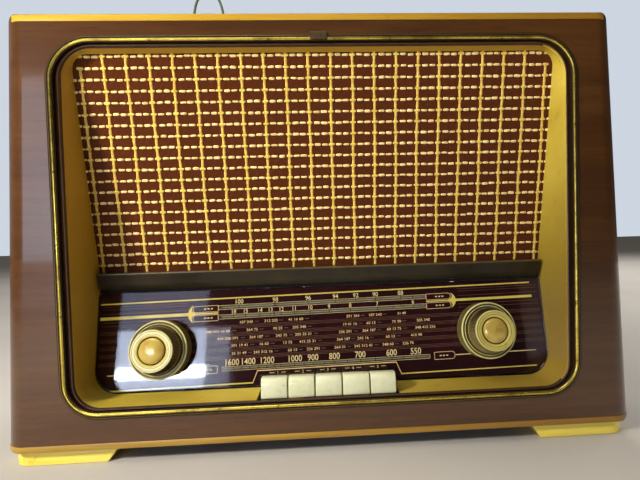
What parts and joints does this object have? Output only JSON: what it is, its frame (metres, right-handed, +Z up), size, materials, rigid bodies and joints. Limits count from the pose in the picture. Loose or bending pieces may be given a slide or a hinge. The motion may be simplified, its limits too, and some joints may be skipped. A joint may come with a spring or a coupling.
{
  "type": "table radio",
  "caption": "Table valve radio: walnut case, forward-leaning cloth grille, back-leaning glass dial with a moving pointer, concentric knobs and piano keys.",
  "frame": {"origin": "middle of the whole object's box, at the height of the soles of the feet", "axes": "+Z up, the front with grille, dial and keys faces -Y, +X to the right as the listener sees it"},
  "size_m": [0.541, 0.262, 0.5278],
  "materials": {
    "walnut": "clear gloss lacquer",
    "pale_wood": "golden lacquer",
    "brass_moulding": "polished, lightly tarnished",
    "brass_parts": "satin",
    "clip_metal": "dull bronze",
    "escutcheon": "glossy cream gold",
    "shelf": "dark bronze gloss",
    "grille_cloth": "woven with gold and cream threads",
    "board": "raw",
    "hardboard": "raw fibre",
    "dial_glass": "back printed",
    "dial_back": "matt dark maroon",
    "key_ivory": "aged ivory gloss",
    "knob_ring": "knurled edge",
    "knob_cap": "cream gloss",
    "knob_dome": "polished",
    "pointer_enamel": "cream enamel",
    "steel": "plated",
    "chassis_plate": "silver grey",
    "vane_metal": "bare",
    "iron_core": "dark varnish",
    "valve_glass": "clear",
    "lamp_glass": "warm",
    "paper_cone": "black paper felt",
    "phenolic": "paper phenolic",
    "cable_brown": "satin",
    "cable_grey": "satin",
    "cord_thread": "waxed thread"
  },
  "bodies": {
    "cabinet": {"cabinet_shell": "walnut", "top_edge_strip": "pale_wood", "bottom_edge_strip": "pale_wood", "foot_front_left": "pale_wood", "foot_front_right": "pale_wood", "foot_rear_left": "pale_wood", "foot_rear_right": "pale_wood", "bezel_moulding": "brass_moulding", "bezel_joint_cover": "clip_metal", "inner_frame": "escutcheon", "shelf_bar": "shelf", "grille_cloth": "grille_cloth", "baffle_board": "board", "speaker_frame": "steel", "dial_glass": "dial_glass", "dial_backplate": "dial_back", "dial_lamp_left": "lamp_glass", "dial_lamp_right": "lamp_glass", "pointer_rail": "steel", "volume_pot": "steel", "treble_pot": "steel", "gang_frame": "vane_metal", "dial_cord": "cord_thread", "key_pivot_rod": "steel", "switch_bank": "phenolic", "chassis": "chassis_plate", "mains_transformer": "iron_core", "output_transformer": "iron_core", "valve_1": "valve_glass", "valve_2": "valve_glass", "valve_3": "valve_glass", "valve_4": "valve_glass", "if_can": "vane_metal", "back_cover": "hardboard", "mains_cord": "cable_brown", "aerial_lead": "cable_grey"},
    "tuning_control": {"tuning_knob": "knob_cap", "tuning_knob_dome": "knob_dome", "tuning_shaft": "steel"},
    "treble_control": {"treble_ring": "knob_ring"},
    "volume_control": {"volume_knob": "knob_cap", "volume_knob_dome": "knob_dome", "volume_shaft": "steel"},
    "bass_control": {"bass_ring": "knob_ring"},
    "pointer_carriage": {"pointer": "pointer_enamel"},
    "pulley_left": {"cord_pulley_left": "brass_parts"},
    "pulley_right": {"cord_pulley_right": "brass_parts"},
    "tuning_gang": {"tuning_drum": "vane_metal", "gang_rotor": "vane_metal"},
    "voice_cone": {"speaker_cone": "paper_cone"},
    "key_1": {"key_cap_1": "key_ivory", "key_lever_1": "steel"},
    "key_2": {"key_cap_2": "key_ivory", "key_lever_2": "steel"},
    "key_3": {"key_cap_3": "key_ivory", "key_lever_3": "steel"},
    "key_4": {"key_cap_4": "key_ivory", "key_lever_4": "steel"},
    "key_5": {"key_cap_5": "key_ivory", "key_lever_5": "steel"}
  },
  "joints": [
    {"name": "tuning_turn", "type": "hinge", "parent": "cabinet", "child": "tuning_control", "pos_m": [0.1522, -0.08068, 0.08864], "axis": [0, 0.9848, -0.1736], "range_deg": [-644, 2077]},
    {"name": "treble_turn", "type": "hinge", "parent": "cabinet", "child": "treble_control", "pos_m": [0.1522, -0.08068, 0.08864], "axis": [0, 0.9848, -0.1736], "range_deg": [-140, 140]},
    {"name": "volume_turn", "type": "hinge", "parent": "cabinet", "child": "volume_control", "pos_m": [-0.1522, -0.08155, 0.08372], "axis": [0, 0.9848, -0.1736], "range_deg": [-140, 140]},
    {"name": "bass_turn", "type": "hinge", "parent": "cabinet", "child": "bass_control", "pos_m": [-0.1522, -0.08155, 0.08372], "axis": [0, 0.9848, -0.1736], "range_deg": [-140, 140]},
    {"name": "pointer_travel", "type": "slide", "parent": "cabinet", "child": "pointer_carriage", "axis": [1, 0, 0], "range_m": [-0.0451, 0.1451]},
    {"name": "pulley_left_turn", "type": "hinge", "parent": "cabinet", "child": "pulley_left", "pos_m": [-0.192, -0.07212, 0.13719], "axis": [0, 0.9848, -0.1736], "range_deg": [-453, 1459]},
    {"name": "pulley_right_turn", "type": "hinge", "parent": "cabinet", "child": "pulley_right", "pos_m": [0.192, -0.07212, 0.13719], "axis": [0, 0.9848, -0.1736], "range_deg": [-453, 1459]},
    {"name": "drum_turn", "type": "hinge", "parent": "cabinet", "child": "tuning_gang", "pos_m": [0.04, -0.03805, 0.127], "axis": [0, 1, 0], "range_deg": [-43, 138]},
    {"name": "cone_travel", "type": "slide", "parent": "cabinet", "child": "voice_cone", "axis": [0, -0.9744, -0.225], "range_m": [-0.001, 0.001]},
    {"name": "key_1_press", "type": "hinge", "parent": "cabinet", "child": "key_1", "pos_m": [-0.0469, -0.03805, 0.0505], "axis": [1, 0, 0], "range_deg": [0, 4.5]},
    {"name": "key_2_press", "type": "hinge", "parent": "cabinet", "child": "key_2", "pos_m": [-0.02335, -0.03805, 0.0505], "axis": [1, 0, 0], "range_deg": [0, 4.5]},
    {"name": "key_3_press", "type": "hinge", "parent": "cabinet", "child": "key_3", "pos_m": [0.00025, -0.03805, 0.0505], "axis": [1, 0, 0], "range_deg": [0, 4.5]},
    {"name": "key_4_press", "type": "hinge", "parent": "cabinet", "child": "key_4", "pos_m": [0.0242, -0.03805, 0.0505], "axis": [1, 0, 0], "range_deg": [0, 4.5]},
    {"name": "key_5_press", "type": "hinge", "parent": "cabinet", "child": "key_5", "pos_m": [0.0479, -0.03805, 0.0505], "axis": [1, 0, 0], "range_deg": [0, 4.5]}
  ],
  "couplings": [
    {"joint": "pointer_travel", "follows": "tuning_turn", "m_per_rad": 0.004},
    {"joint": "pulley_left_turn", "follows": "tuning_turn", "ratio": 0.70175},
    {"joint": "pulley_right_turn", "follows": "tuning_turn", "ratio": 0.70175},
    {"joint": "drum_turn", "follows": "tuning_turn", "ratio": 0.066116}
  ]
}
